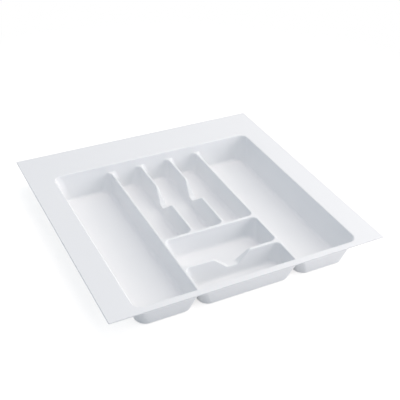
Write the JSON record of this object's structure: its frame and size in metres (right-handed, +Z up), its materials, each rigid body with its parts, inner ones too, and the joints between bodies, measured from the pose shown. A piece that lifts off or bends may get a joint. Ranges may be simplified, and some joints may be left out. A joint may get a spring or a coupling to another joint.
{
  "type": "cutlery tray",
  "caption": "White plastic drawer insert formed into open cutlery wells with hollow, finger-scooped dividers and a wide flat flange that is trimmed to the drawer.",
  "frame": {"origin": "on the resting plane, under the middle of the flange's outline", "axes": "+X to the right along the drawer front, +Y to the back of the drawer, +Z up"},
  "size_m": [0.556, 0.54, 0.0585],
  "materials": {
    "white_sheet": "satin, lightly grained moulded plastic"
  },
  "bodies": {
    "root": {"left_long_well": "white_sheet", "right_long_well": "white_sheet", "fork_well": "white_sheet", "knife_well": "white_sheet", "spoon_well": "white_sheet", "rear_cross_well": "white_sheet", "front_cross_well": "white_sheet", "left_trim_flange": "white_sheet", "right_trim_flange": "white_sheet", "rear_trim_flange": "white_sheet", "front_lip": "white_sheet"}
  },
  "joints": []
}
